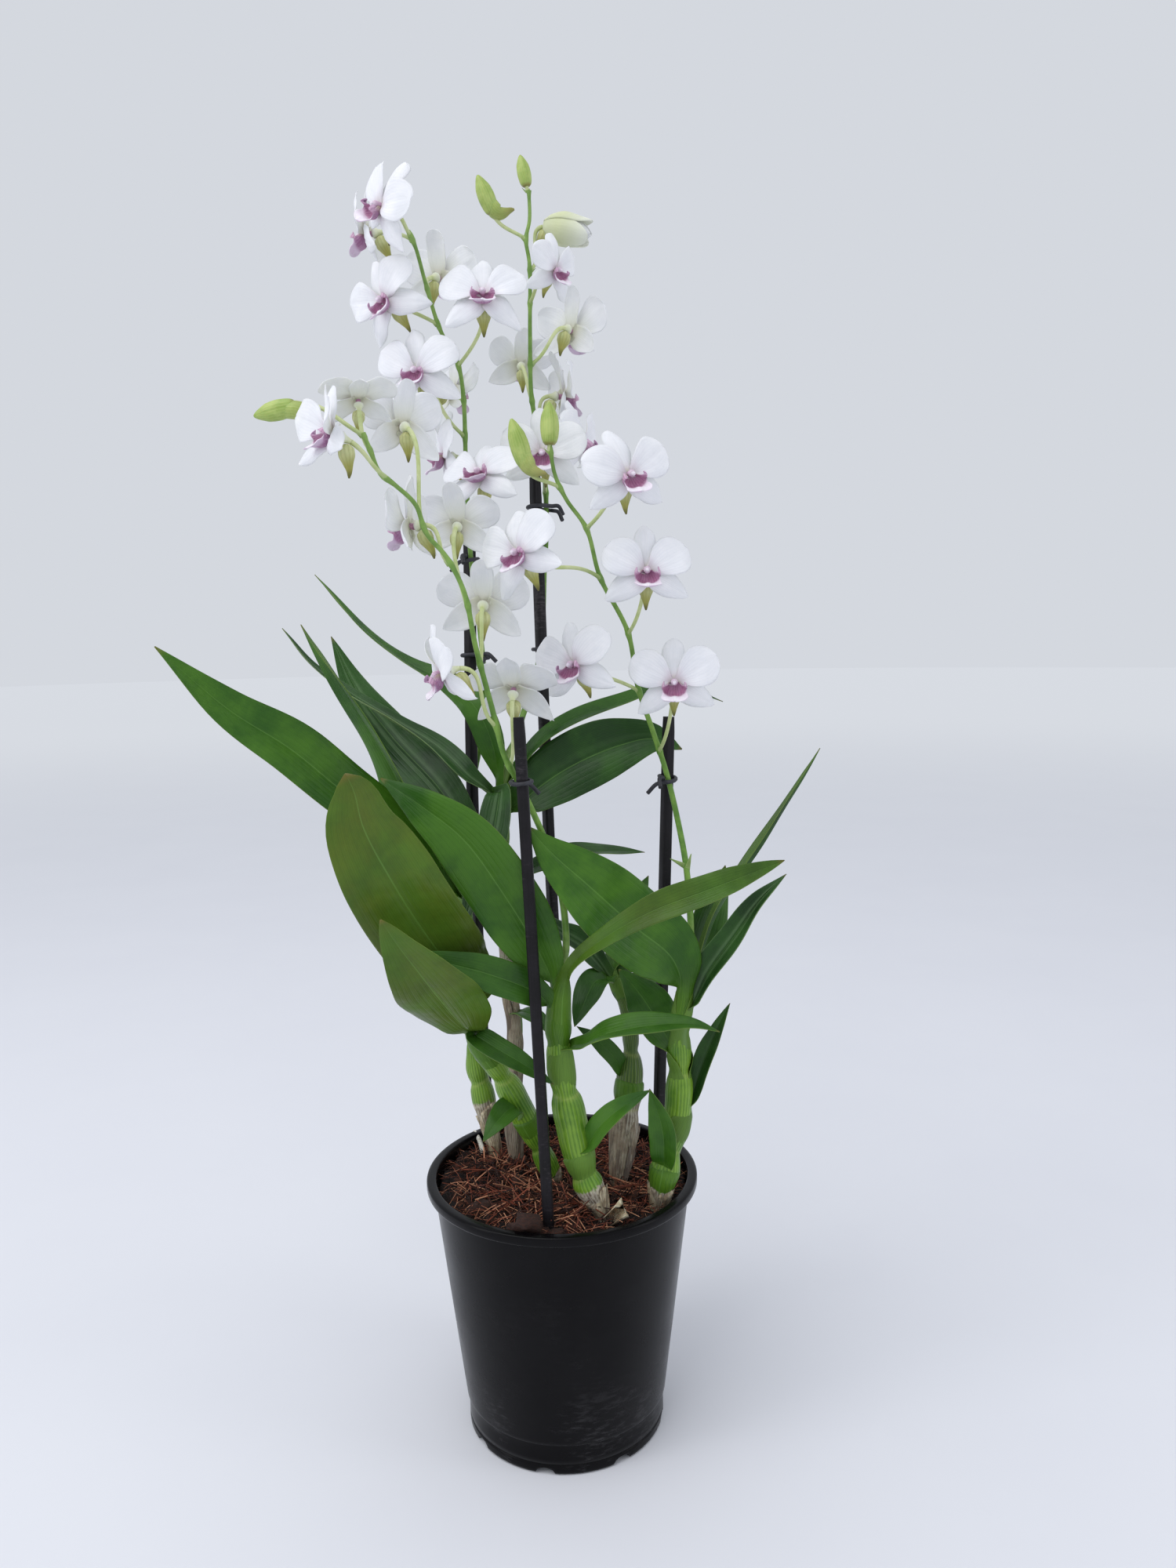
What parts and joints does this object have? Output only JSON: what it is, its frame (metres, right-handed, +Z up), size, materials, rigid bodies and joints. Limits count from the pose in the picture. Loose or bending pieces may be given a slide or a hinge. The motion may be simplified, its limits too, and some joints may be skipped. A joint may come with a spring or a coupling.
{
  "type": "potted dendrobium orchid",
  "caption": "Upright dendrobium orchid in a round nursery pot: leafy canes carry tall arching sprays of white blooms with mauve lips, tied to thin stakes.",
  "frame": {"origin": "centre of the pot's underside, on the surface that the pot stands on", "axes": "+Z up along the pot's axis and the stakes; -Y is the front, the side that most blooms face; +X is to the right seen from the front"},
  "size_m": [0.3175, 0.1928, 0.6491],
  "materials": {
    "pot_plastic": "black injection-moulded polypropylene, satin, with dull scuffs low down",
    "bark_and_coir": "rough reddish-brown coir fibre and bark chips, matte",
    "stake_plastic": "near-black plastic, matte, faintly ribbed",
    "cane_and_leaf": "waxy green, semi-gloss; papery pale sheaths on the old lower cane",
    "flower_stem": "smooth yellow-green, satin",
    "petal": "cool white waxy petals with fine veins, mauve lip and purple throat, soft satin",
    "tie_wire": "charcoal plastic-coated wire, matte"
  },
  "bodies": {
    "root": {"pot": "pot_plastic", "potting_mix": "bark_and_coir", "stake_a": "stake_plastic", "stake_b": "stake_plastic", "stake_c": "stake_plastic", "stake_d": "stake_plastic", "cane_1": "cane_and_leaf", "cane_2": "cane_and_leaf", "cane_3": "cane_and_leaf", "cane_4": "cane_and_leaf", "cane_5": "cane_and_leaf", "cane_6": "cane_and_leaf", "spray_a": "flower_stem", "spray_b": "flower_stem", "spray_c": "flower_stem", "spray_d": "flower_stem", "bloom_a1": "petal", "bloom_a2": "petal", "bloom_a3": "petal", "bloom_a4": "petal", "bloom_a5": "petal", "bloom_a6": "petal", "bloom_a7": "petal", "bloom_a8": "petal", "bloom_a9": "petal", "bloom_b1": "petal", "bloom_b2": "petal", "bloom_b3": "petal", "bloom_b4": "petal", "bloom_b5": "petal", "bloom_b6": "petal", "bloom_b7": "petal", "bloom_c1": "petal", "bloom_c2": "petal", "bloom_c3": "petal", "bloom_c4": "petal", "bloom_c5": "petal", "bloom_c6": "petal", "bloom_c7": "petal", "bloom_c8": "petal", "bloom_d1": "petal", "bloom_d2": "petal", "bloom_d3": "petal", "bloom_d4": "petal", "bloom_d5": "petal", "tie_a_low": "tie_wire", "tie_a_high": "tie_wire", "tie_b_low": "tie_wire", "tie_b_high": "tie_wire", "tie_c": "tie_wire", "tie_d": "tie_wire"}
  },
  "joints": []
}
